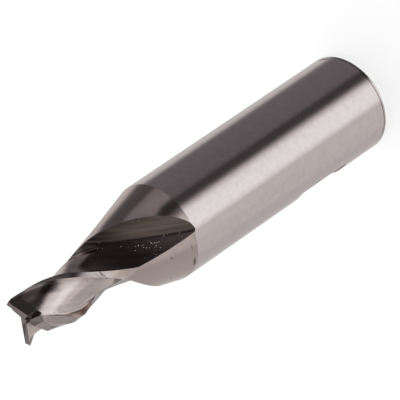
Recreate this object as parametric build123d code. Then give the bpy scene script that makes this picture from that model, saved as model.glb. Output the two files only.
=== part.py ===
from build123d import *
import math
import os

# Three-flute 3 mm end mill on a 6 mm flatted shank.  Sizes in mm, angles in degrees.
# The tool stands on its shank end: origin in the middle of that end face, +Z to the
# cutting end, +X square out of the clamping flat.

shank_d = 6.0            # plain shank, standard 6 mm
shank_len = 17.83        # end face to the start of the neck cone
cutter_d = 3.0           # over the three cutting edges
cutter_len = 5.02        # straight cutting part
neck_half_angle = 13.7   # cone between cutter and shank
end_chamfer = 0.6        # 45 degree chamfer round the shank end

flat_depth = 1.2         # clamping flat, 4.8 mm across from flat to far side
flat_len = 4.2
flat_from_end = 3.85     # shank end to the near end of the flat
flat_corner_r = 0.2      # corner left by the milling cutter

helix_angle = 30.0       # right hand
tooth_clock = 1.0        # first cutting corner, seen from the tip, from +X
core_r = 1.04            # radius left between the flutes
land_angle = 20.0        # width of the land behind each edge
rake_angle = 9.0         # how far the rake face is hooked under the edge
land_relief = 7.0        # clearance ground on the land
root_r = 0.16            # root radius of the flute on both sides
heel_lean = 4.0          # the heel wall leans outward by this angle
back_out = 0.06          # the convex back of the flute leaves the cutter this far out
back_past = 3.0          # and this many degrees past the heel
back_fall = 0.2          # on the neck its corner lies deeper, by this much per mm

wheel_r = 26.0           # flute wheel, and how far it is turned from the tool's axis
wheel_swivel = 37.0
wheel_heel_side = 1.3    # from the middle of the flute to its rim corner by the heel
wheel_rake_side = 0.7    # and to the one by the rake face
wheel_heel_angle = 19.5  # slope of its side by the heel, from the wheel's plane
wheel_rake_angle = 54.0  # and by the rake face
wheel_taper = 7.0        # its rim is slightly conical and
wheel_touch = 0.45       # touches the core this far over
wheel_depth = 4.0        # dressed this far in from the rim

runout_start = cutter_len + 0.98   # tip to the place where the wheel stops feeding
fade_start = runout_start - 1.1    # from here its imprint takes over the rake side
fade_len = 1.6                     # within this length
fade_share = 0.7                   # and this share of the floor
lift_start = runout_start + 0.3    # from here what is left of the helical cut rises
lift_rate = 0.9                    # by this much times the square of the way
lift_end = runout_start + 1.2      # to its end, which the imprint swallows
run_in = 0.4             # the helical cut starts this far above the tip

# the three ends are ground by hand and differ; first, second and third tooth
dish_angle = 2.0         # end edges fall towards the middle
end_relief = 7.0         # clearance behind each end edge
end_land = 0.43          # width of that land
end_back = (45.0, 42.0, 24.0)    # slope behind the land
gash_fall = (56.0, 24.0, 45.0)   # how steeply the gash runs down and out
gash_wall = 27.0         # slope of the gash floor across its run
gash_start = 0.05        # depth of the gash on the axis
pit_r = 0.22             # small hollow where the gashes meet
pit_depth = 0.35
pit_off = 0.14           # it sits a little to one side, this way round from +X
pit_clock = 120.0

cone_len = (shank_d - cutter_d) / 2 / math.tan(math.radians(neck_half_angle))
tip_z = shank_len + cone_len + cutter_len
edge_r = cutter_d / 2
stub_r = edge_r + 0.02   # turned stub before the edges are ground to size
twist = math.degrees(math.tan(math.radians(helix_angle)) / edge_r)   # degrees per mm
half_flute = (120 - land_angle) / 2
far = shank_d            # anything safely outside the blank


def tan(a):
    return math.tan(math.radians(a))


def polar(r, a):
    """A flat point from its radius and angle."""
    return Vector(r * math.cos(math.radians(a)), r * math.sin(math.radians(a)))


def blank():
    """The turned blank: chamfered shank, neck cone, cutter stub."""
    r = shank_d / 2
    outline = Polyline(
        (0, 0), (r - end_chamfer, 0), (r, end_chamfer), (r, shank_len),
        (stub_r, tip_z - cutter_len), (stub_r, tip_z), (0, tip_z), close=True)
    return revolve(Plane.XZ * make_face(outline), Axis.Z)


def ease(t):
    """Smooth step from 0 to 1."""
    t = min(1.0, max(0.0, t))
    return t * t * (3 - 2 * t)


def section(zt):
    """Section of the helical cut as a face, a distance zt from the tip, turned to its place.

    y points outward through the middle of the flute, x against the cut.
    """
    edge = polar(edge_r, 90 - half_flute)
    along = 90 - half_flute + rake_angle
    lever = edge_r * math.sin(math.radians(rake_angle))
    depth = edge_r * math.cos(math.radians(rake_angle)) - math.sqrt(core_r ** 2 - lever ** 2)
    root = edge - polar(depth, along)
    out_rake = edge + polar(far, along)
    heel_r = edge_r + back_out - back_fall * max(0.0, zt - cutter_len)
    heel = polar(heel_r, 90 + half_flute + back_past)
    wall = polar(far, 90 + half_flute + heel_lean)
    floor = ThreePointArc(root, polar(core_r, 90), heel)
    gone = ease((zt - fade_start) / fade_len)
    if gone > 0:
        share = fade_share * gone
        root = floor @ share
        out_rake = out_rake + (root + wall - out_rake) * gone
        floor = ThreePointArc(root, floor @ ((1 + share) / 2), heel)
    face = make_face([Line(out_rake, root), floor, Line(heel, heel + wall),
                      Line(heel + wall, out_rake)])
    near = face.vertices().sort_by_distance(root)[:1] + face.vertices().sort_by_distance(heel)[:1]
    face = fillet(near, root_r)
    lift = lift_rate * max(0.0, zt - lift_start) ** 2
    return Pos(0, 0, tip_z - zt) * Rot(0, 0, flute_clock(zt)) * Pos(0, lift, 0) * face


def flute_clock(zt):
    """Turn of the first flute's middle, a distance zt from the tip."""
    return tooth_clock + half_flute - twist * zt - 90


def helical_cut():
    """What the flute wheel takes off on its way along the cutter."""
    count = 21
    step = (lift_end + run_in) / (count - 1)
    return loft([section(step * i - run_in) for i in range(count)])


def wheel():
    """The flute wheel where it stops: its imprint is the run-out on the neck."""
    rim_rake = wheel_r + (wheel_rake_side + wheel_touch) * tan(wheel_taper)
    rim_heel = wheel_r - (wheel_heel_side - wheel_touch) * tan(wheel_taper)
    corners = [(-wheel_rake_side, rim_rake), (wheel_heel_side, rim_heel),
               (wheel_heel_side + wheel_depth * tan(wheel_heel_angle), rim_heel - wheel_depth),
               (-wheel_rake_side - wheel_depth * tan(wheel_rake_angle), rim_rake - wheel_depth)]
    profile = make_face(Polyline(corners, close=True))
    profile = fillet(profile.vertices().sort_by(Axis.Y)[-2:], root_r)
    disc = revolve(profile, Axis.X)
    b = math.radians(wheel_swivel)
    seat = Plane(origin=(0, core_r + wheel_r, 0), x_dir=(-math.cos(b), 0, -math.sin(b)),
                 z_dir=(math.sin(b), 0, -math.cos(b)))
    place = Pos(0, 0, tip_z - runout_start) * Rot(0, 0, flute_clock(runout_start))
    return place * (seat * disc)


def land_cut():
    """What the relief wheel takes off behind one cutting edge."""
    fall = land_relief
    strip = Polyline(
        (edge_r + 0.3 * tan(fall), 0.3), (edge_r - 0.9 * tan(fall), -0.9),
        (edge_r + 0.6, -0.9), (edge_r + 0.6, 0.3), close=True)
    step = (cutter_len + 0.3) / 12
    heights = [-0.3 + step * i for i in range(13)]
    return loft([Pos(0, 0, tip_z - zt) * Rot(0, 0, tooth_clock - twist * zt) * make_face(strip)
                 for zt in heights])


def above_plane(origin, normal):
    """A large block lying on the plane with this point and normal."""
    return Plane(origin=origin, z_dir=normal) * Box(
        12, 12, 6, align=(Align.CENTER, Align.CENTER, Align.MIN))


def end_cuts(i):
    """The cuts that shape the end behind tooth i and the gash of the tooth before it."""
    mine = math.radians(tooth_clock + 120 * i)
    prev = math.radians(tooth_clock + 120 * (i - 1))
    e = Vector(math.cos(mine), math.sin(mine))       # along this end edge
    back = Vector(math.sin(mine), -math.cos(mine))   # trailing side of this tooth
    p = Vector(math.cos(prev), math.sin(prev))
    q = Vector(-math.sin(prev), math.cos(prev))      # leading side of the tooth before
    up = Vector(0, 0, 1)
    tip = Vector(0, 0, tip_z)
    # sector between the tooth before and this one
    wide = Polyline((0, 0), p * far, (p + e) * far * 3, e * far, close=True)
    sector = extrude(Pos(0, 0, tip_z - 3) * make_face(wide), 4)
    land = above_plane(tip, up + back * tan(end_relief) - e * tan(dish_angle))
    slope = above_plane(tip + back * end_land - up * end_land * tan(end_relief),
                        up + back * tan(end_back[i]))
    gash = above_plane(tip - up * gash_start,
                       up + p * tan(gash_fall[i - 1]) - q * tan(gash_wall))
    return [sector & land, sector & slope, sector & gash]


def end_mill():
    body = blank()
    for cut in (wheel(), helical_cut()):
        for i in range(3):
            body -= Rot(0, 0, 120 * i) * cut
    lands = land_cut()
    for i in range(3):
        body -= Rot(0, 0, 120 * i) * lands
    for i in range(3):
        for cut in end_cuts(i):
            body -= cut
    where = polar(pit_off, pit_clock)
    body -= Pos(where.X, where.Y, tip_z - pit_depth) * Cylinder(
        pit_r, 2, align=(Align.CENTER, Align.CENTER, Align.MIN))
    flat = Pos(shank_d / 2 - flat_depth, 0, flat_from_end) * Box(
        4, 8, flat_len, align=(Align.MIN, Align.CENTER, Align.MIN))
    flat = fillet(flat.edges().filter_by(Axis.Y).group_by(Axis.X)[0], flat_corner_r)
    body -= flat
    return body


if __name__ == "__main__":
    os.makedirs("parts", exist_ok=True)
    body = end_mill()
    body = body.solid() if hasattr(body, "solid") else body
    body.label = "end_mill"
    export_step(body, "parts/end_mill.step")
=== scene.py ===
"""Looks of a short three-flute end mill: ground steel with painted edge highlights, scale, painted
shade and dust in the flutes, studio.
"""
import math
from typing import NamedTuple

import bpy
from bpy.props import FloatProperty, FloatVectorProperty, IntProperty, PointerProperty
from mathutils import Matrix, Vector


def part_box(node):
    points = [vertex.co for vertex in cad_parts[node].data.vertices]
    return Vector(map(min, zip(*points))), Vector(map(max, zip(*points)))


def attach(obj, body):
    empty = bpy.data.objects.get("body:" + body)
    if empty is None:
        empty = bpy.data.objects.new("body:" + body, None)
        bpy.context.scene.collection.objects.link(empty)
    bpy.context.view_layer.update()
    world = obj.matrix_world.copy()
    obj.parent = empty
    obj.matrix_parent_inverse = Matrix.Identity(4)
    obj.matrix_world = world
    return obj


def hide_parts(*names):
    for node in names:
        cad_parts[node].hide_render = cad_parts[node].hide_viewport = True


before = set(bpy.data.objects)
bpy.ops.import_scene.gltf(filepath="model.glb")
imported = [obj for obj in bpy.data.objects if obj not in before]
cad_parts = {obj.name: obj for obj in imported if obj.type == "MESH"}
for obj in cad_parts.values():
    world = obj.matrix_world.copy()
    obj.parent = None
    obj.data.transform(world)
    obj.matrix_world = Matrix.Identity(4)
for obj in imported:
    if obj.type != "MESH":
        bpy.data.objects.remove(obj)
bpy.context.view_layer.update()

bl_info = {
    "name": "Ground end mill",
    "version": (1, 0, 0),
    "blender": (4, 5, 0),
    "location": "View3D > Sidebar > End Mill",
    "description": "Dresses a flatted-shank end mill in ground steel and lights it",
    "category": "Object",
}

MM = 0.001
NODE = "end_mill"
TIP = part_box(NODE)[1].z          # height of the cutting end
SHANK_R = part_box(NODE)[1].y      # radius of the plain shank
THIRD = 2 * math.pi / 3          # from one flute to the next


class MillSettings(bpy.types.PropertyGroup):
    """Where the zones of the tool lie, for the finish that follows them."""
    weld: FloatProperty(
        name="Weld distance", description="Vertices closer than this are joined",
        default=0.0008 * MM, precision=7, subtype="DISTANCE", unit="LENGTH")
    corner: FloatProperty(
        name="Corner angle", description="Above it, edges at the neck's ends and the end are crisp",
        default=math.radians(6), subtype="ANGLE", unit="ROTATION")
    sharp: FloatProperty(
        name="Sharp angle", description="Above it, any edge is crisp",
        default=math.radians(24), subtype="ANGLE", unit="ROTATION")
    neck_start: FloatProperty(
        name="Neck start", description="Height where the neck cone leaves the shank",
        default=17.83 * MM, precision=5, subtype="DISTANCE", unit="LENGTH")
    cutter_len: FloatProperty(
        name="Cutter length", description="Straight cutting part, from the tip",
        default=5.02 * MM, precision=5, subtype="DISTANCE", unit="LENGTH")
    cutter_r: FloatProperty(
        name="Cutter radius", description="Radius over the cutting edges",
        default=1.5 * MM, precision=5, subtype="DISTANCE", unit="LENGTH")
    relief: FloatProperty(
        name="Relief depth", description="A land lies no deeper under the blank than this",
        default=0.12 * MM, precision=5, subtype="DISTANCE", unit="LENGTH")
    core_r: FloatProperty(
        name="Core radius", description="Left between the flutes",
        default=1.04 * MM, precision=5, subtype="DISTANCE", unit="LENGTH")
    helix: FloatProperty(
        name="Helix angle", description="Right-hand helix of the flutes",
        default=math.radians(30), subtype="ANGLE", unit="ROTATION")
    tooth: FloatProperty(
        name="First tooth", description="Angle of the first cutting corner from +X",
        default=math.radians(1), subtype="ANGLE", unit="ROTATION")
    half_flute: FloatProperty(
        name="Half flute", description="From a cutting edge to the middle of its flute",
        default=math.radians(50), subtype="ANGLE", unit="ROTATION")
    runout: FloatProperty(
        name="Run-out start", description="From the tip to where the wheel stopped",
        default=6.0 * MM, precision=5, subtype="DISTANCE", unit="LENGTH")
    wheel_r: FloatProperty(
        name="Wheel radius", description="Of the wheel that ground the flutes",
        default=26 * MM, precision=5, subtype="DISTANCE", unit="LENGTH")
    swivel: FloatProperty(
        name="Wheel swivel", description="How far the wheel is turned from the tool's axis",
        default=math.radians(37), subtype="ANGLE", unit="ROTATION")
    wheel_touch: FloatProperty(
        name="Wheel touch", description="Its rim bears on the core this far over, by the heel",
        default=0.45 * MM, precision=5, subtype="DISTANCE", unit="LENGTH")
    wheel_taper: FloatProperty(
        name="Wheel taper", description="Slope of the wheel's rim",
        default=math.radians(7), subtype="ANGLE", unit="ROTATION")


class DustSettings(bpy.types.PropertyGroup):
    """Fine grinding dust left in the run-outs."""
    density: FloatProperty(
        name="Density", description="Grains per square metre where they are thickest",
        default=1.3e8, min=0)
    strewn: FloatProperty(
        name="Strewn share", description="How dense they lie elsewhere in the run-out",
        default=0.2, min=0, max=1, subtype="FACTOR")
    size: FloatProperty(
        name="Grain radius", description="Radius of the largest grains",
        default=0.034 * MM, precision=6, subtype="DISTANCE", unit="LENGTH")
    seed: IntProperty(
        name="Seed", description="Fixes where the grains lie and how large they are", default=7)


class SteelSettings(bpy.types.PropertyGroup):
    """Colours and finish of the steel."""
    ground: FloatVectorProperty(
        name="Ground steel", description="The shank", subtype="COLOR", size=3,
        min=0, max=1, default=(0.72, 0.632, 0.632))
    neck: FloatVectorProperty(
        name="Neck", description="Warm tint of the turned cone", subtype="COLOR", size=3,
        min=0, max=1, default=(0.72, 0.60, 0.56))
    flute: FloatVectorProperty(
        name="Flute", description="Floor of the flutes along the cutter", subtype="COLOR",
        size=3, min=0, max=1, default=(0.66, 0.572, 0.545))
    streak: FloatVectorProperty(
        name="Streaks", description="Run-out where the side of the wheel ground it",
        subtype="COLOR", size=3, min=0, max=1, default=(0.87, 0.695, 0.60))
    # painted shade: the dark floor of the run-out, and its side towards the cutter
    runout_shade: FloatVectorProperty(
        name="Painted run-out shade", description="Run-out where the rim of the wheel ground it",
        subtype="COLOR", size=3, min=0, max=1, default=(0.22, 0.165, 0.16))
    land: FloatVectorProperty(
        name="Land", description="Relief ground lands and end teeth", subtype="COLOR", size=3,
        min=0, max=1, default=(0.50, 0.433, 0.418))
    # painted highlight: a pale colour where the edges catch the light
    painted_highlight: FloatVectorProperty(
        name="Painted edge highlight", description="Where edges catch the light", subtype="COLOR", size=3,
        min=0, max=1, default=(0.84, 0.78, 0.76))
    # the same dark brown also paints shade near the tip of the flutes and in the run-out
    scale: FloatVectorProperty(
        name="Scale", description="Dark brown scale in lines, stains and pits", subtype="COLOR",
        size=3, min=0, max=1, default=(0.07, 0.05, 0.045))
    hollow: FloatProperty(
        name="Hollow", description="How far the hollow of a land turns its surface",
        default=math.radians(12.5), subtype="ANGLE", unit="ROTATION")
    roughness: FloatProperty(
        name="Roughness", description="Of the ground shank", min=0, max=1, default=0.2,
        subtype="FACTOR")


class StudioSettings(bpy.types.PropertyGroup):
    """Camera, floor and lamp."""
    distance: FloatProperty(
        name="Camera distance", description="From the point looked at",
        default=273.14 * MM, subtype="DISTANCE", unit="LENGTH")
    azimuth: FloatProperty(
        name="Camera azimuth", description="Direction of the camera from +X",
        default=math.radians(127), subtype="ANGLE", unit="ROTATION")
    elevation: FloatProperty(
        name="Camera elevation", description="Height of the camera over the horizon",
        default=math.radians(40.07), subtype="ANGLE", unit="ROTATION")
    roll: FloatProperty(
        name="Camera roll", description="Turn about the line of sight",
        default=math.radians(-124.38), subtype="ANGLE", unit="ROTATION")
    target: FloatVectorProperty(
        name="Target", description="Point in the middle of the picture", size=3,
        default=(-1.28 * MM, 1.48 * MM, 15.51 * MM), subtype="XYZ", unit="LENGTH")
    lens: FloatProperty(
        name="Lens", description="Focal length on a 36 mm sensor, in millimetres",
        default=438.63)
    floor_size: FloatProperty(
        name="Floor size", description="Side of the pale floor", default=0.8,
        subtype="DISTANCE", unit="LENGTH")
    lamp_power: FloatProperty(
        name="Lamp power", description="Of the overhead lamp that gives the floor its shadow",
        default=6.0, subtype="POWER", unit="POWER")
    lamp_size: FloatProperty(
        name="Lamp size", description="Its diameter", default=0.5, subtype="DISTANCE",
        unit="LENGTH")
    lamp_place: FloatVectorProperty(
        name="Lamp place", description="Its middle, from which it points at the origin",
        size=3, default=(0.1, -0.15, 0.6), subtype="XYZ", unit="LENGTH")


class Tree:
    """Adds nodes to a node tree; a plain number or another node's socket may be an input."""

    def __init__(self, tree):
        self.tree = tree

    def put(self, value, socket):
        if isinstance(value, bpy.types.NodeSocket):
            self.tree.links.new(value, socket)
        elif value is not None:
            socket.default_value = value

    def node(self, kind, inputs=(), **settings):
        made = self.tree.nodes.new(kind)
        for name, value in settings.items():
            setattr(made, name, value)
        pairs = inputs.items() if isinstance(inputs, dict) else enumerate(inputs)
        for key, value in pairs:
            self.put(value, made.inputs[key])
        return made

    def math(self, operation, a, b=None):
        made = self.node("ShaderNodeMath", operation=operation)
        self.put(a, made.inputs[0])
        self.put(b, made.inputs[1])
        return made.outputs[0]

    def add(self, a, b):
        return self.math("ADD", a, b)

    def sub(self, a, b):
        return self.math("SUBTRACT", a, b)

    def mul(self, a, b):
        return self.math("MULTIPLY", a, b)

    def div(self, a, b):
        return self.math("DIVIDE", a, b)

    def length(self, a, b):
        return self.math("SQRT", self.add(self.mul(a, a), self.mul(b, b)))

    def above(self, a, b):
        return self.math("GREATER_THAN", a, b)

    def below(self, a, b):
        return self.math("LESS_THAN", a, b)

    def near(self, a, b, distance):
        return self.below(self.math("ABSOLUTE", self.sub(a, b)), distance)

    def both(self, a, b):
        return self.mul(a, b)

    def either(self, a, b):
        return self.math("MAXIMUM", a, b)

    def without(self, a):
        return self.sub(1.0, a)

    def ramp(self, value, low, high, start=0.0, end=1.0, smooth=True):
        """value from low..high to start..end, clamped."""
        made = self.node(
            "ShaderNodeMapRange", (value, low, high, start, end),
            interpolation_type="SMOOTHSTEP" if smooth else "LINEAR")
        return made.outputs[0]

    def split(self, vector):
        return self.node("ShaderNodeSeparateXYZ", (vector,)).outputs

    def join(self, x, y, z):
        return self.node("ShaderNodeCombineXYZ", (x, y, z)).outputs[0]

    def vector(self, operation, a, b=None):
        made = self.node("ShaderNodeVectorMath", operation=operation)
        self.put(a, made.inputs[0])
        self.put(b, made.inputs[1])
        return made.outputs["Value" if operation in ("LENGTH", "DOT_PRODUCT") else "Vector"]

    def noise(self, vector, scale, detail=3.0, roughness=0.5):
        made = self.node("ShaderNodeTexNoise", {
            "Vector": vector, "Scale": scale, "Detail": detail, "Roughness": roughness})
        return made.outputs["Fac" if "Fac" in made.outputs else "Factor"]

    def blend(self, share, a, b):
        """Colour a where share is 0, b where it is 1."""
        made = self.node("ShaderNodeMix", data_type="RGBA")
        self.put(share, made.inputs["Factor"])
        colours = [s for s in made.inputs if s.type == "RGBA"]
        self.put(a, colours[0])
        self.put(b, colours[1])
        return next(s for s in made.outputs if s.type == "RGBA")

    def object_place(self):
        return self.node("ShaderNodeTexCoord").outputs["Object"]

    def attribute(self, name, output="Fac"):
        """An attribute of the mesh, for a material."""
        return self.node("ShaderNodeAttribute", attribute_name=name).outputs[output]

    def stored(self, name, kind="FLOAT"):
        """An attribute of the mesh, for Geometry Nodes."""
        made = self.node("GeometryNodeInputNamedAttribute", {"Name": name}, data_type=kind)
        return made.outputs["Attribute"]

    def random(self, seed):
        """A random value between 0 and 1 for each point."""
        made = self.node("FunctionNodeRandomValue", {"Seed": seed}, data_type="FLOAT")
        limits = [s for s in made.inputs if s.type == "VALUE"]
        self.put(0.0, limits[0])
        self.put(1.0, limits[1])
        return next(s for s in made.outputs if s.type == "VALUE")

    def finish(self, geometry, material):
        """Ends a Geometry Nodes tree: plain geometry in this material."""
        real = self.node("GeometryNodeRealizeInstances", {"Geometry": geometry})
        coated = self.node("GeometryNodeSetMaterial", {
            "Geometry": real.outputs[0], "Material": material})
        self.node("NodeGroupOutput", (coated.outputs[0],))


def new_group(name, numbers, whole_numbers, material):
    """A Geometry Nodes group with these inputs beside its mesh, its tree and its inputs."""
    group = bpy.data.node_groups.new(name, "GeometryNodeTree")
    sockets = group.interface
    sockets.new_socket("Geometry", in_out="INPUT", socket_type="NodeSocketGeometry")
    for number in numbers:
        sockets.new_socket(number, in_out="INPUT", socket_type="NodeSocketFloat")
    for number in whole_numbers:
        sockets.new_socket(number, in_out="INPUT", socket_type="NodeSocketInt")
    sockets.new_socket(material, in_out="INPUT", socket_type="NodeSocketMaterial")
    sockets.new_socket("Geometry", in_out="OUTPUT", socket_type="NodeSocketGeometry")
    t = Tree(group)
    return group, t, t.node("NodeGroupInput").outputs


def new_material(name):
    """An empty node material and its tree."""
    material = bpy.data.materials.new(name)
    material.use_nodes = True
    material.node_tree.nodes.clear()
    return material, Tree(material.node_tree)


def rgba(colour):
    return (*colour, 1.0)


def scaled(colour, factor):
    return rgba(c * factor for c in colour)


# what tells the zones of the tool apart
HEAD_BELOW = 0.6 * MM        # the run-outs reach this far below the neck's start
END_DEPTH = 1.2 * MM         # the faces of the end lie no deeper than this under the tip
END_UP = 0.5                 # and face up more than this
WALL_FACING = 0.9            # a wall of a flute faces outward less than this
FACET = 0.02 * MM            # the flats of the mesh lie less than this off the true surface
EDGE_MARGIN = math.radians(0.5)    # left to the land beside a flute
END_TOUCH = 0.25             # an edge of the end's faces has more of their mark than this
TINY = 1e-6                  # keeps a radius off zero
# one flute's stopped wheel gives way to the next one's along a line that slants over the
# neck: between these distances from the tip, these shares of the turn from flute to flute
# lie ahead of the middle of the flute
FOLD_STRETCH = (4.4 * MM, 6.7 * MM)
FOLD_SHARE = (0.206, 0.63)


class ToolPoint:
    """Where a point of the tool's surface lies, as sockets of a Geometry Nodes tree."""

    def __init__(self, t, given):
        self.t = t
        self.given = given
        self.x, self.y, self.z = t.split(t.node("GeometryNodeInputPosition").outputs[0])
        nx, ny, self.facing_up = t.split(t.node("GeometryNodeInputNormal").outputs[0])
        self.radius = t.length(self.x, self.y)
        outward = t.add(t.mul(self.x, nx), t.mul(self.y, ny))
        self.facing_out = t.div(outward, t.math("MAXIMUM", self.radius, TINY))
        self.from_tip = t.sub(given["Tip"], self.z)
        self.cone_end = t.sub(given["Tip"], given["Cutter length"])
        self.twist = t.div(t.math("TANGENT", given["Helix"]), given["Cutter radius"])
        # across and outward in the flute that follows the helix
        self.across, self.outward = self.in_flute(t.mul(self.twist, self.from_tip), 0.5)

    def depth(self):
        """How deep it lies under the turned blank."""
        blank = self.t.ramp(self.z, self.given["Neck start"], self.cone_end,
                            self.given["Shank radius"], self.given["Cutter radius"],
                            smooth=False)
        return self.t.sub(blank, self.radius)

    def in_flute(self, turned, share):
        """Its place across a flute and outward, where the flutes have turned so far.

        share of the third of a turn round a flute lies ahead of the flute's middle.
        """
        t = self.t
        ahead = t.mul(share, THIRD)
        middle = t.sub(t.add(self.given["Tooth"], self.given["Half flute"]), ahead)
        around = t.sub(t.add(t.math("ARCTAN2", self.y, self.x), turned), middle)
        off = t.sub(t.math("FLOORED_MODULO", around, THIRD), ahead)
        across = t.mul(t.mul(self.radius, t.math("SINE", off)), -1.0)
        return across, t.mul(self.radius, t.math("COSINE", off))

    def by_wheel(self):
        """Its place beside the stopped wheel: along the axle, off the rim, and round it."""
        t = self.t
        given = self.given
        ahead = t.ramp(self.from_tip, *FOLD_STRETCH, *FOLD_SHARE, smooth=False)
        across, outward = self.in_flute(t.mul(self.twist, given["Run-out"]), ahead)
        rise = t.sub(given["Run-out"], self.from_tip)
        lean_cos = t.math("COSINE", given["Swivel"])
        lean_sin = t.math("SINE", given["Swivel"])
        axial = t.add(t.mul(across, lean_cos), t.mul(rise, lean_sin))
        tangent = t.sub(t.mul(rise, lean_cos), t.mul(across, lean_sin))
        inward = t.sub(t.add(given["Core radius"], given["Wheel radius"]), outward)
        return t.join(axial, t.sub(t.length(inward, tangent), given["Wheel radius"]), tangent)


def store_zones(t, given, point, mesh):
    """Stores on each face whether it belongs to a flute, a land or the end."""
    depth = point.depth()
    on_head = t.above(point.z, t.sub(given["Neck start"], HEAD_BELOW))
    on_cutter = t.above(point.z, point.cone_end)
    end = t.both(t.above(point.facing_up, END_UP), t.below(point.from_tip, END_DEPTH))
    steep = t.both(t.below(point.facing_out, WALL_FACING), t.above(depth, FACET))
    edge = t.math("TANGENT", t.sub(given["Half flute"], EDGE_MARGIN))
    inside = t.below(t.math("ABSOLUTE", point.across), t.mul(point.outward, edge))
    hollow = t.either(t.either(steep, t.both(on_cutter, inside)),
                      t.above(depth, given["Relief depth"]))
    flute = t.both(t.both(on_head, hollow), t.without(end))
    land = t.both(t.both(on_cutter, t.without(hollow)), t.without(end))
    for name, value in (("flute", flute), ("land", land), ("end", end)):
        mesh = t.node("GeometryNodeStoreNamedAttribute", {
            "Geometry": mesh, "Name": name, "Value": value},
            data_type="FLOAT", domain="FACE").outputs[0]
    return mesh


def store_grain(t, point, mesh):
    """Stores the place that the grinding lines follow: the helix, and the stopped wheel."""
    helix = t.join(point.across, point.outward, point.z)
    for name, value in (("grain", helix), ("wheel", point.by_wheel())):
        store = t.node("GeometryNodeStoreNamedAttribute", {"Geometry": mesh, "Name": name},
                       data_type="FLOAT_VECTOR", domain="CORNER")
        t.put(value, next(s for s in store.inputs if s.type == "VECTOR"))
        mesh = store.outputs[0]
    return mesh


def shade_smooth(t, given, point, mesh):
    """Smooth, apart from sharp edges, the neck's ends and the edges of the end's faces."""
    smooth = t.node("GeometryNodeSetShadeSmooth",
                    {"Geometry": mesh, "Shade Smooth": True}, domain="FACE")
    angle = t.node("GeometryNodeInputMeshEdgeAngle").outputs["Unsigned Angle"]
    at_neck = t.either(t.near(point.z, given["Neck start"], FACET),
                       t.near(point.z, point.cone_end, FACET))
    by_end = t.above(t.stored("end"), END_TOUCH)
    corner = t.both(t.either(at_neck, by_end), t.above(angle, given["Corner"]))
    sharp = t.either(corner, t.above(angle, given["Sharp"]))
    crisp = t.node("GeometryNodeSetShadeSmooth", {
        "Geometry": smooth.outputs[0], "Selection": sharp, "Shade Smooth": False}, domain="EDGE")
    return crisp.outputs[0]


def zone_tree():
    """Geometry Nodes: welds the tool's surface and marks flutes, lands and the end on it."""
    group, t, given = new_group(
        "tool_zones",
        ("Weld", "Corner", "Sharp", "Neck start", "Cutter length", "Cutter radius",
         "Relief depth", "Core radius", "Wheel radius", "Helix", "Run-out", "Swivel", "Tooth",
         "Half flute", "Tip", "Shank radius"), (), "Steel")
    welded = t.node("GeometryNodeMergeByDistance",
                    {"Geometry": given["Geometry"], "Distance": given["Weld"]}).outputs[0]
    point = ToolPoint(t, given)
    marked = store_grain(t, point, store_zones(t, given, point, welded))
    t.finish(shade_smooth(t, given, point, marked), given["Steel"])
    return group


# where dust lies in a run-out: a thick patch, in the stopped wheel's own directions, by the
# corner that its rim left, and a thin veil that gets thinner towards the cutter
PATCH_AXIAL = -0.8 * MM          # middle of the patch along the axle
PATCH_TANGENT = -3.0 * MM        # and round the rim
PATCH_WIDE = 0.32 * MM           # half width
PATCH_LONG = 0.85 * MM           # half length
PATCH_RIM = (0.2, 1.0)           # it thins out between these shares of its size
SIDE_AXIAL = -1.25 * MM          # beyond this the wheel's side ground, and holds dust only
SIDE_HOLDS = 0.3                 # by this share
BARE_END = 0.3 * MM              # no dust this close to the neck's start
PATCH_CLOUDS = 2500.0            # clouds per metre in the patch
PATCH_CLOUD_BAND = (0.4, 0.62)   # noise from where a cloud begins to where it is full
VEIL_CLOUDS = 900.0              # and the same in the veil
VEIL_CLOUD_BAND = (0.45, 0.7)
SMALLEST = 0.42                  # smallest grain beside the largest
FEW_LARGE = 4.0                  # the higher, the fewer grains are large
FLATNESS = 0.6                   # height of a grain beside its width


def dust_share(t, given):
    """Share of the grains that stay at a place."""
    position = t.node("GeometryNodeInputPosition").outputs[0]
    wheel = t.split(t.stored("wheel", "FLOAT_VECTOR"))
    axial = wheel[0]
    tangent = wheel[2]
    beside = t.div(t.sub(axial, PATCH_AXIAL), PATCH_WIDE)
    along = t.div(t.sub(tangent, PATCH_TANGENT), PATCH_LONG)
    patch = t.ramp(t.length(beside, along), *PATCH_RIM, 1.0, 0.0)
    clouds = t.noise(position, PATCH_CLOUDS, detail=2.0)
    patch = t.mul(patch, t.ramp(clouds, *PATCH_CLOUD_BAND))
    low = t.ramp(t.split(position)[2], given["Neck start"], given["Neck end"], 1.0, 0.0)
    clouds = t.noise(position, VEIL_CLOUDS, detail=2.0)
    veil = t.mul(low, t.ramp(clouds, *VEIL_CLOUD_BAND))
    held = t.ramp(t.above(axial, SIDE_AXIAL), 0.0, 1.0, SIDE_HOLDS, 1.0)
    return t.mul(t.add(patch, t.mul(given["Strewn share"], veil)), held)


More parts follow.
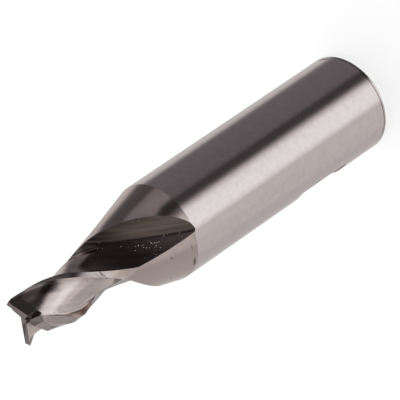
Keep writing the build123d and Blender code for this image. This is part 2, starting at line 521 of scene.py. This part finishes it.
def dust_tree():
    """Geometry Nodes: strews grains over the run-out of the flutes, with one thick patch each."""
    group, t, given = new_group(
        "flute_dust", ("Density", "Strewn share", "Grain radius", "Neck start", "Neck end"),
        ("Seed",), "Dust")
    z = t.split(t.node("GeometryNodeInputPosition").outputs[0])[2]
    on_neck = t.both(t.above(z, t.add(given["Neck start"], BARE_END)),
                     t.below(z, given["Neck end"]))
    points = t.node("GeometryNodeDistributePointsOnFaces", {
        "Mesh": given["Geometry"], "Selection": t.both(t.stored("flute"), on_neck),
        "Density": given["Density"], "Seed": given["Seed"]}, distribute_method="RANDOM")
    large = t.math("POWER", t.random(t.add(given["Seed"], 1)), FEW_LARGE)
    wide = t.ramp(large, 0.0, 1.0, SMALLEST, 1.0, smooth=False)
    stays = t.below(t.random(t.add(given["Seed"], 2)), dust_share(t, given))
    grain = t.node("GeometryNodeMeshIcoSphere", {"Radius": given["Grain radius"],
                                                 "Subdivisions": 2}).outputs[0]
    grains = t.node("GeometryNodeInstanceOnPoints", {
        "Points": points.outputs["Points"], "Selection": stays, "Instance": grain,
        "Rotation": points.outputs["Rotation"],
        "Scale": t.join(wide, wide, t.mul(wide, FLATNESS))})
    t.finish(grains.outputs[0], given["Dust"])
    return group


def set_inputs(modifier, values):
    """Sets a modifier's inputs, by the identifier of the socket with each name."""
    by_name = {s.name: s.identifier for s in modifier.node_group.interface.items_tree
               if s.item_type == "SOCKET" and s.in_out == "INPUT"}
    for name, value in values.items():
        modifier[by_name[name]] = value


def grown(base, tree, name, values):
    """A plain mesh object: what the tree makes of the base object."""
    modifier = base.modifiers.new(name, "NODES")
    modifier.node_group = tree
    set_inputs(modifier, values)
    graph = bpy.context.evaluated_depsgraph_get()
    mesh = bpy.data.meshes.new_from_object(base.evaluated_get(graph), depsgraph=graph)
    base.modifiers.remove(modifier)
    mesh.name = name
    made = bpy.data.objects.new(name, mesh)
    bpy.context.scene.collection.objects.link(made)
    return made


class Mark(NamedTuple):
    """A small dark mark on the steel, in mm and degrees."""
    name: str
    height: float        # of its middle
    azimuth: float
    length: float        # half its length
    width: float         # half its width
    slant: float         # from level
    dark: float          # 1 is as dark as scale
    least: float         # it marks nothing nearer the tool's axis than this


MARKS = (
    Mark("pit by the shank", 18.22, 89, 0.22, 0.045, 8, 0.5, 0),
    Mark("long pit by the shank", 18.0, 68, 0.38, 0.10, 12, 0.65, 0),
    Mark("pit on the neck", 19.6, 87, 0.13, 0.045, 40, 0.55, 0),
    Mark("small pit on the neck", 19.34, 91, 0.07, 0.045, 0, 0.4, 0),
    Mark("faint pit on the neck", 19.4, 52, 0.10, 0.06, 0, 0.4, 0),
    Mark("dot on the back of a flute", 24.98, 124.2, 0.035, 0.03, 0, 0.8, 0),
    Mark("tick on an edge", 27.73, 101.3, 0.09, 0.03, 70, 0.6, 0),
    Mark("nick by the shank end", 0.95, -161, 0.6, 0.12, 0, 0.9, 0),
    Mark("scratch on a land", 24.24, 121.5, 0.26, 0.022, 22, 0.7, 1.44),
    Mark("second scratch on a land", 23.90, 115.5, 0.30, 0.024, 25, 0.85, 1.44),
)
MARK_ROUGH = 9000.0          # cells per metre of the noise that makes their outlines ragged
MOST_RAGGED = 0.6            # round marks are this ragged
RAGGED_SHARE = 3.0           # and long ones by this much of their width over their length
MARK_FADE = (0.8, 1.5)       # a mark fades between these shares of its size


def dark_mark(t, place, rough, mark):
    """How dark one mark makes a point."""
    azimuth = math.radians(mark.azimuth)
    slant = math.radians(mark.slant)
    outward = Vector((math.cos(azimuth), math.sin(azimuth), 0))
    level = Vector((-math.sin(azimuth), math.cos(azimuth), 0))
    up = Vector((0, 0, 1))
    along = level * math.cos(slant) + up * math.sin(slant)
    across = up * math.cos(slant) - level * math.sin(slant)
    off = t.vector("SUBTRACT", place, up * mark.height * MM)
    reach = t.length(t.vector("DOT_PRODUCT", off, along / (mark.length * MM)),
                     t.vector("DOT_PRODUCT", off, across / (mark.width * MM)))
    ragged = min(MOST_RAGGED, RAGGED_SHARE * mark.width / mark.length)
    dark = t.ramp(t.add(reach, t.mul(rough, ragged)), *MARK_FADE, mark.dark, 0.0)
    this_side = t.above(t.vector("DOT_PRODUCT", off, outward), mark.least * MM)
    shown = t.mul(dark, this_side)
    shown.node.label = mark.name
    return shown


def marks(t, place):
    """How dark the small marks make a point: 0 where there is none."""
    rough = t.noise(place, MARK_ROUGH, detail=2.0)
    total = 0.0
    for mark in MARKS:
        total = t.either(total, dark_mark(t, place, rough, mark))
    return total


# grain of the finish: cells of noise per metre across the lines, twice, and along them
SHANK_GRAIN = (5000.0, 5000.0, 140.0)
HELIX_GRAIN = (6000.0, 6000.0, 220.0)
WHEEL_GRAIN = (4200.0, 4200.0, 260.0)
FINE_WHEEL_GRAIN = (15000.0, 15000.0, 500.0)
MOTTLE = 2600.0              # cells per metre of the faint mottle
CLOUDS = 1500.0              # and of the clouds on the lands
# bands of noise, from where a line, streak or cloud begins to where it is full
EVEN_BAND = (0.3, 0.7)
STREAK_BAND = (0.3, 0.75)
CLOUD_BAND = (0.35, 0.75)
LINE_BAND = (0.35, 0.8)
THIN_BAND = (0.4, 0.8)

# where a flute shows the imprint of the stopped wheel, not the helical cut
TOUCHED = (0.03 * MM, 0.09 * MM)         # off the wheel, from ground by it to left alone
IMPRINT_START = (4.4 * MM, 5.0 * MM)     # from the tip, its imprint comes in
IMPRINT_ONLY = (5.7 * MM, 6.1 * MM)      # and past these there is nothing else


def drawn(t, place, grain):
    """Noise drawn out into lines along the third direction of place."""
    return t.noise(t.vector("MULTIPLY", place, grain), 1.0, roughness=0.6)


class SteelPoint:
    """What the finish needs to know of a point of the steel, as sockets of its material."""

    def __init__(self, t, mill):
        self.place = t.object_place()
        x, y, self.z = t.split(self.place)
        self.radius = t.vector("LENGTH", t.join(x, y, 0.0))
        self.from_tip = t.sub(TIP, self.z)
        self.flute = t.attribute("flute")
        self.edges = t.either(t.attribute("land"), t.attribute("end"))
        self.wheel = t.attribute("wheel", "Vector")
        self.axial, reach = t.split(self.wheel)[:2]
        self.mottle = t.noise(self.place, MOTTLE, roughness=0.6)
        self.helical = drawn(t, t.attribute("grain", "Vector"), HELIX_GRAIN)
        self.circles = drawn(t, self.wheel, WHEEL_GRAIN)
        taper = math.tan(mill.wheel_taper)
        over = t.sub(reach, t.mul(t.add(self.axial, mill.wheel_touch), taper))
        touched = t.ramp(over, *TOUCHED, 1.0, 0.0)
        self.imprint = t.mul(t.either(touched, t.ramp(self.from_tip, *IMPRINT_ONLY)),
                             t.ramp(self.from_tip, *IMPRINT_START))


RIM_LINE = 0.74 * MM                     # height of the fine line by the shank's end chamfer
RIM_LINE_EDGE = (0.03 * MM, 0.07 * MM)   # it fades between these distances from its middle
RIM_LINE_DARK = 0.6
STREAK_SHADE = 0.97                      # brightness in a streak of the shank
MOTTLE_SHADE = 0.92                      # and in its mottle
NECK_TINT = (0.6, 0.95)                  # how strong the neck's tint is, by the mottle


def ground_colour(t, at, steel, mill):
    """Shank and neck: long streaks, a faint mottle and a fine line near the end chamfer."""
    streaks = t.ramp(drawn(t, at.place, SHANK_GRAIN), *STREAK_BAND)
    colour = t.blend(streaks, rgba(steel.ground), scaled(steel.ground, STREAK_SHADE))
    mottle = t.ramp(at.mottle, *LINE_BAND)
    colour = t.blend(mottle, colour, scaled(steel.ground, MOTTLE_SHADE))
    tint = t.ramp(at.mottle, *EVEN_BAND, *NECK_TINT)
    colour = t.blend(t.mul(t.above(at.z, mill.neck_start), tint), colour, rgba(steel.neck))
    off_line = t.math("ABSOLUTE", t.sub(at.z, RIM_LINE))
    line = t.ramp(off_line, *RIM_LINE_EDGE, RIM_LINE_DARK, 0.0)
    return t.blend(line, colour, rgba(steel.scale))


LIT_BACK_RADII = (1.08 * MM, 1.34 * MM)      # between these radii the floor turns into the back, which is painted brighter
LIT_BACK_WAVER = 0.06 * MM                   # and this border wavers with the grain
LIT_BACK_GAIN = 1.3                          # painted light: brightness of the back beside the floor
LINE_DARK = 0.2                          # scale in a line of the grain
TIP_SHADE_LENGTH = (2.3 * MM, 3.1 * MM)      # from the tip, the painted shade fades out
TIP_SHADE_WAVER = 0.8 * MM                   # and its end wavers with the grain
TIP_SHADE_DARK = 0.8
TIP_SHADE_INSIDE = (1.12 * MM, 1.26 * MM)    # it comes in between these radii
TIP_SHADE_OUTSIDE = (1.38 * MM, 1.45 * MM)   # and pales between these
TIP_SHADE_PALE = 0.2                         # to this share


def cutter_colour(t, at, steel):
    """Flutes along the cutter: painted brighter on their back, with lines, and with painted shade
    near the tip.
    """
    # painted light: the back of the flute is painted brighter than its floor
    back = t.ramp(t.add(at.radius, t.mul(at.helical, LIT_BACK_WAVER)), *LIT_BACK_RADII)
    colour = t.blend(back, rgba(steel.flute), scaled(steel.flute, LIT_BACK_GAIN))
    in_line = t.blend(LINE_DARK, colour, rgba(steel.scale))
    colour = t.blend(t.ramp(at.helical, *LINE_BAND), colour, in_line)
    # painted shade on the back of the flutes near the tip
    along = t.add(at.from_tip, t.mul(at.helical, TIP_SHADE_WAVER))
    tip_shade = t.mul(t.ramp(along, *TIP_SHADE_LENGTH, TIP_SHADE_DARK, 0.0),
                  t.mul(t.ramp(at.radius, *TIP_SHADE_INSIDE),
                        t.ramp(at.radius, *TIP_SHADE_OUTSIDE, 1.0, TIP_SHADE_PALE)))
    return t.blend(tip_shade, colour, rgba(steel.scale))


SIDE_SHADE = 0.5                         # brightness in a line that the wheel's side left
FINE_LINE_DARK = 0.35                    # scale in a fine line
UP_NECK = (1.6 * MM, 4.6 * MM)           # above the neck's start, painted shade darkens the side
UP_NECK_DARK = 0.8
SIDE_SHADED_STRETCH = (5.6 * MM, 6.9 * MM)         # from the tip, its painted shade ends
SIDE_SHADED_SHARE = 0.85                        # share of the painted shade's colour in it
HEEL_CORNER = (-1.36 * MM, -1.28 * MM)   # along the axle, from the wheel's side to its rim
FLOOR_LINE_SHADE = 0.6                        # brightness in a line that its rim left


def runout_colour(t, at, steel, mill):
    """Run-out: painted shade where the rim of the wheel bore, streaked where its side did, with
    painted shade up the side towards the cutter.
    """
    streaks = t.ramp(at.circles, *EVEN_BAND)
    side = t.blend(streaks, rgba(steel.streak), scaled(steel.streak, SIDE_SHADE))
    fine = t.ramp(drawn(t, at.wheel, FINE_WHEEL_GRAIN), *THIN_BAND, 0.0, FINE_LINE_DARK)
    side = t.blend(fine, side, rgba(steel.scale))
    # painted shade, darker up the run-out's side towards the cutter
    up_neck = t.ramp(t.sub(at.z, mill.neck_start), *UP_NECK, 0.0, UP_NECK_DARK)
    side = t.blend(up_neck, side, rgba(steel.scale))
    # painted shade on the side towards the cutter
    side = t.blend(t.ramp(at.from_tip, *SIDE_SHADED_STRETCH, SIDE_SHADED_SHARE, 0.0), side, rgba(steel.runout_shade))
    lines = t.ramp(at.circles, *THIN_BAND)
    # painted shade: the run-out's floor
    floor = t.blend(lines, rgba(steel.runout_shade), scaled(steel.runout_shade, FLOOR_LINE_SHADE))
    return t.blend(t.ramp(at.axial, *HEEL_CORNER, 1.0, 0.0), floor, side)


LAND_SHADE = 0.85                        # brightness in the clouds on a land


def land_colour(t, at, steel):
    """Relief ground lands and end faces, faintly clouded."""
    clouds = t.ramp(t.noise(at.place, CLOUDS, detail=4.0), *CLOUD_BAND)
    return t.blend(clouds, rgba(steel.land), scaled(steel.land, LAND_SHADE))


HIGHLIGHT_RADIUS = 0.06 * MM                  # the painted highlight reaches this far to each side of an edge
HIGHLIGHT_TURN = (0.985, 0.90)                # cosine of the turn where the painted highlight begins and is full
HIGHLIGHT_SHARE = 0.55
ROUGH_RANGE = 0.03                       # how much the roughness varies with the mottle
ROUGH_EDGES = 0.02                       # and how much lands and end faces have on top
BUMP_STRENGTH = 0.1
BUMP_HEIGHT = 0.006 * MM


def painted_highlight(t, normal):
    """How strong the painted highlight is at a point by an edge."""
    rounded = t.node("ShaderNodeBevel", {"Radius": HIGHLIGHT_RADIUS}, samples=6).outputs[0]
    return t.ramp(t.vector("DOT_PRODUCT", rounded, normal), *HIGHLIGHT_TURN, 0.0, HIGHLIGHT_SHARE)


def bumped(t, at, steel, normal):
    """The surface's normal: grinding lines in the flutes, and lands that are ground hollow."""
    lines = t.add(t.mul(at.helical, t.without(at.imprint)), t.mul(at.circles, at.imprint))
    # the hollow turns a land's surface a little about the tool's axis
    leaning = t.node("ShaderNodeVectorRotate", {
        "Vector": normal, "Angle": t.mul(t.attribute("land"), -steel.hollow)},
        rotation_type="Z_AXIS")
    bump = t.node("ShaderNodeBump", {
        "Strength": BUMP_STRENGTH, "Distance": BUMP_HEIGHT, "Height": t.mul(at.flute, lines),
        "Normal": leaning.outputs[0]})
    return bump.outputs[0]


def steel_material(steel, mill):
    """Ground high speed steel: each zone has its own grain, tint and roughness."""
    material, t = new_material("ground_steel")
    at = SteelPoint(t, mill)
    normal = t.node("ShaderNodeNewGeometry").outputs["Normal"]

    hollow = t.blend(at.imprint, cutter_colour(t, at, steel), runout_colour(t, at, steel, mill))
    colour = t.blend(at.flute, ground_colour(t, at, steel, mill), hollow)
    colour = t.blend(at.edges, colour, land_colour(t, at, steel))
    # painted highlight along the edges
    colour = t.blend(painted_highlight(t, normal), colour, rgba(steel.painted_highlight))
    colour = t.blend(marks(t, at.place), colour, rgba(steel.scale))

    uneven = t.mul(t.ramp(at.mottle, *EVEN_BAND), ROUGH_RANGE)
    roughness = t.add(uneven, steel.roughness - ROUGH_RANGE / 2)
    roughness = t.add(roughness, t.mul(at.edges, ROUGH_EDGES))
    shader = t.node("ShaderNodeBsdfPrincipled", {
        "Base Color": colour, "Metallic": 1.0, "Roughness": roughness,
        "Normal": bumped(t, at, steel, normal)})
    t.node("ShaderNodeOutputMaterial", {"Surface": shader.outputs[0]})
    return material


DUST_DARK = (0.5, 0.48, 0.46, 1.0)
DUST_PALE = (0.85, 0.83, 0.8, 1.0)
DUST_CLOUDS = 4000.0         # clouds per metre of its two colours
DUST_BAND = (0.4, 0.6)
DUST_ROUGHNESS = 0.7


def dust_material():
    """Pale grinding dust."""
    material, t = new_material("grinding_dust")
    clouds = t.ramp(t.noise(t.object_place(), DUST_CLOUDS, detail=2.0), *DUST_BAND)
    shader = t.node("ShaderNodeBsdfPrincipled", {
        "Base Color": t.blend(clouds, DUST_DARK, DUST_PALE), "Roughness": DUST_ROUGHNESS})
    t.node("ShaderNodeOutputMaterial", {"Surface": shader.outputs[0]})
    return material


WHITE = (1.0, 1.0, 1.0, 1.0)
PAPER_DARK = (0.82, 0.82, 0.82, 1.0)
PAPER_PALE = (0.86, 0.86, 0.86, 1.0)
PAPER_CLOUDS = 60.0          # clouds per metre of its two greys
FLOOR_GLOW = 0.86            # share of plain white in the floor that the camera sees


def camera_ray(t):
    return t.node("ShaderNodeLightPath").outputs["Is Camera Ray"]


def floor_material():
    """Near-white floor for the camera, lit enough to keep the tool's soft shadow."""
    material, t = new_material("pale_floor")
    paper = t.blend(t.noise(t.object_place(), PAPER_CLOUDS), PAPER_DARK, PAPER_PALE)
    matt = t.node("ShaderNodeBsdfDiffuse", {"Color": paper})
    glow = t.node("ShaderNodeEmission", {"Color": WHITE, "Strength": 1.0})
    share = t.mul(camera_ray(t), FLOOR_GLOW)
    mixed = t.node("ShaderNodeMixShader", (share, matt.outputs[0], glow.outputs[0]))
    t.node("ShaderNodeOutputMaterial", {"Surface": mixed.outputs[0]})
    return material


class StudioPanel(NamedTuple):
    """A soft-edged part of the studio round the tool; its angles are in degrees."""
    name: str
    azimuth: float       # of its middle
    half: float          # half its width; over 180 it goes all round
    low: float           # elevation of its lower rim
    high: float          # and of its upper rim
    soft: float          # width of the rim's fade
    strength: float      # light that a panel adds, or share that a flag takes away


STUDIO_PANELS = (
    StudioPanel("backdrop", 300, 40, -90, 0, 16, 0.08),
    StudioPanel("fill", 51, 27, -90, -27, 22, 0.09),
    StudioPanel("end patch", 345, 16, -12, 12, 8, 0.2),
    StudioPanel("side patch", 186, 20, -19, 20, 10, 0.18),
    StudioPanel("key top", 88, 25, -36, -15, 12, 0.32),
    StudioPanel("overhead", 304, 50, 33, 62, 12, 0.30),
)
KEY_PANEL = StudioPanel("key", 111, 24, -90, -11, 14, 0.50)
STUDIO_FLAGS = (
    StudioPanel("flag rim", 156, 12, -90, 10, 8, 0.72),
    StudioPanel("neck flag", 225, 18, -24, 10, 6, 0.4),
    StudioPanel("key flag", 141, 12, -19, 20, 8, 0.6),
    StudioPanel("top flag", 0, 200, 67, 90, 6, 0.5),
    StudioPanel("flute flag", 182, 18, -36, -18, 5, 0.7),
)
SIDE_FLAG = StudioPanel("side flag", 198, 54, -90, 90, 14, 0.72)
LOW_LIGHT = 0.63             # light from below
HIGH_LIGHT = 0.11            # and from above, with an even run between these elevations
LIGHT_RUN = (math.radians(-50), math.radians(30))
WARM_LIGHT = (1.0, 0.975, 0.965, 1.0)
SIDE_LIGHT = (1.0, 0.935, 0.99, 1.0)     # behind the side flag
KEY_LIGHT = (0.97, 1.0, 1.0, 1.0)        # in the key panel


def in_panel(t, azimuth, elevation, panel):
    """1 inside a panel of the studio and 0 outside, with a soft rim."""
    rim = math.radians(panel.soft) / 2
    half = math.radians(panel.half)
    low = math.radians(panel.low)
    high = math.radians(panel.high)
    turned = t.sub(azimuth, math.radians(panel.azimuth))
    wrap = t.node("ShaderNodeMath", (turned, math.pi, -math.pi), operation="WRAP")
    off = t.math("ABSOLUTE", wrap.outputs[0])
    wide = t.ramp(off, half - rim, half + rim, 1.0, 0.0)
    bottom = t.ramp(elevation, low - rim, low + rim)
    top = t.ramp(elevation, high - rim, high + rim, 1.0, 0.0)
    inside = t.mul(wide, t.mul(bottom, top))
    inside.node.label = panel.name
    return inside


def studio_world():
    """White for the camera; for the steel, a soft studio of panels and flags."""
    world = bpy.data.worlds.new("studio")
    bpy.context.scene.world = world
    world.use_nodes = True
    world.node_tree.nodes.clear()
    t = Tree(world.node_tree)
    x, y, z = t.split(t.node("ShaderNodeTexCoord").outputs["Generated"])
    azimuth = t.math("ARCTAN2", y, x)
    elevation = t.math("ARCSINE", z)
    light = t.ramp(elevation, *LIGHT_RUN, LOW_LIGHT, HIGH_LIGHT, smooth=False)
    side = in_panel(t, azimuth, elevation, SIDE_FLAG)
    light = t.mul(light, t.without(t.mul(side, SIDE_FLAG.strength)))
    for flag in STUDIO_FLAGS:
        behind = in_panel(t, azimuth, elevation, flag)
        light = t.mul(light, t.without(t.mul(behind, flag.strength)))
    for panel in STUDIO_PANELS:
        inside = in_panel(t, azimuth, elevation, panel)
        light = t.add(light, t.mul(inside, panel.strength))
    key = in_panel(t, azimuth, elevation, KEY_PANEL)
    light = t.add(light, t.mul(key, KEY_PANEL.strength))
    tint = t.blend(key, t.blend(side, WARM_LIGHT, SIDE_LIGHT), KEY_LIGHT)
    around = t.node("ShaderNodeBackground", {"Color": tint, "Strength": light})
    white = t.node("ShaderNodeBackground", {"Color": WHITE, "Strength": 1.0})
    mixed = t.node("ShaderNodeMixShader", (camera_ray(t), around.outputs[0], white.outputs[0]))
    t.node("ShaderNodeOutputWorld", {"Surface": mixed.outputs[0]})


class ENDMILL_OT_tool(bpy.types.Operator):
    """Dress the solid tool in ground steel"""
    bl_idname = "endmill.tool"
    bl_label = "Ground Tool"

    def execute(self, context):
        mill = context.scene.endmill_tool
        base = bpy.data.objects.new("tool_base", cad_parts[NODE].data.copy())
        context.scene.collection.objects.link(base)
        tool = grown(base, zone_tree(), "ground_end_mill", {
            "Weld": mill.weld, "Corner": mill.corner, "Sharp": mill.sharp,
            "Neck start": mill.neck_start, "Cutter length": mill.cutter_len,
            "Cutter radius": mill.cutter_r, "Relief depth": mill.relief,
            "Core radius": mill.core_r, "Wheel radius": mill.wheel_r, "Helix": mill.helix,
            "Run-out": mill.runout, "Swivel": mill.swivel, "Tooth": mill.tooth,
            "Half flute": mill.half_flute, "Tip": TIP, "Shank radius": SHANK_R,
            "Steel": steel_material(context.scene.endmill_steel, mill)})
        bpy.data.objects.remove(base)
        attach(tool, "root")
        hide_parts(NODE)
        return {"FINISHED"}


class ENDMILL_OT_dust(bpy.types.Operator):
    """Strew grinding dust in the run-out of the flutes"""
    bl_idname = "endmill.dust"
    bl_label = "Grinding Dust"

    def execute(self, context):
        mill = context.scene.endmill_tool
        dust = context.scene.endmill_dust
        tool = bpy.data.objects["ground_end_mill"]
        grains = grown(tool, dust_tree(), "flute_dust", {
            "Density": dust.density, "Strewn share": dust.strewn, "Seed": dust.seed,
            "Grain radius": dust.size, "Neck start": mill.neck_start,
            "Neck end": TIP - mill.cutter_len, "Dust": dust_material()})
        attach(grains, "root")
        return {"FINISHED"}


class ENDMILL_OT_stage(bpy.types.Operator):
    """Set the floor, the lights and the camera"""
    bl_idname = "endmill.stage"
    bl_label = "Stage"

    def execute(self, context):
        studio = context.scene.endmill_studio
        self.floor(context, studio)
        studio_world()
        self.lamp(context, studio)
        self.camera(context, studio)
        context.scene.view_settings.view_transform = "Standard"
        return {"FINISHED"}

    def floor(self, context, studio):
        half = studio.floor_size / 2
        corners = [(-half, -half, 0), (half, -half, 0), (half, half, 0), (-half, half, 0)]
        mesh = bpy.data.meshes.new("floor")
        mesh.from_pydata(corners, [], [(0, 1, 2, 3)])
        mesh.materials.append(floor_material())
        floor = bpy.data.objects.new("floor", mesh)
        floor.visible_glossy = False
        context.scene.collection.objects.link(floor)

    def lamp(self, context, studio):
        data = bpy.data.lights.new("overhead", "AREA")
        data.shape = "DISK"
        data.size = studio.lamp_size
        data.energy = studio.lamp_power
        place = Vector(studio.lamp_place)
        lamp = bpy.data.objects.new("overhead", data)
        lamp.location = place
        lamp.rotation_euler = (-place).to_track_quat("-Z", "Y").to_euler()
        lamp.visible_glossy = False
        context.scene.collection.objects.link(lamp)

    def camera(self, context, studio):
        level = math.cos(studio.elevation)
        back = Vector((math.cos(studio.azimuth) * level, math.sin(studio.azimuth) * level,
                       math.sin(studio.elevation)))
        data = bpy.data.cameras.new("camera")
        data.sensor_width = 36.0
        data.lens = studio.lens
        data.clip_start = 0.01
        data.clip_end = 10.0
        camera = bpy.data.objects.new("camera", data)
        roll = Matrix.Rotation(studio.roll, 3, "Z").to_quaternion()
        camera.matrix_world = Matrix.LocRotScale(
            Vector(studio.target) + back * studio.distance, back.to_track_quat("Z", "Y") @ roll,
            None)
        context.scene.collection.objects.link(camera)
        context.scene.camera = camera


class ENDMILL_PT_panel(bpy.types.Panel):
    """End mill tools in the sidebar"""
    bl_idname = "ENDMILL_PT_panel"
    bl_label = "End Mill"
    bl_space_type = "VIEW_3D"
    bl_region_type = "UI"
    bl_category = "End Mill"

    def draw(self, context):
        for step in STEPS:
            self.layout.operator(step.bl_idname)
        for name in GROUPS:
            settings = getattr(context.scene, name)
            box = self.layout.box()
            for prop in type(settings).__annotations__:
                box.prop(settings, prop)


STEPS = (ENDMILL_OT_tool, ENDMILL_OT_dust, ENDMILL_OT_stage)
GROUPS = {
    "endmill_tool": MillSettings,
    "endmill_dust": DustSettings,
    "endmill_steel": SteelSettings,
    "endmill_studio": StudioSettings,
}


def register():
    for name, group in GROUPS.items():
        bpy.utils.register_class(group)
        setattr(bpy.types.Scene, name, PointerProperty(type=group))
    for step in STEPS:
        bpy.utils.register_class(step)
    bpy.utils.register_class(ENDMILL_PT_panel)


def unregister():
    bpy.utils.unregister_class(ENDMILL_PT_panel)
    for step in reversed(STEPS):
        bpy.utils.unregister_class(step)
    for name, group in reversed(GROUPS.items()):
        delattr(bpy.types.Scene, name)
        bpy.utils.unregister_class(group)


def main():
    register()
    bpy.ops.endmill.tool()
    bpy.ops.endmill.dust()
    bpy.ops.endmill.stage()


if __name__ == "__main__":
    main()
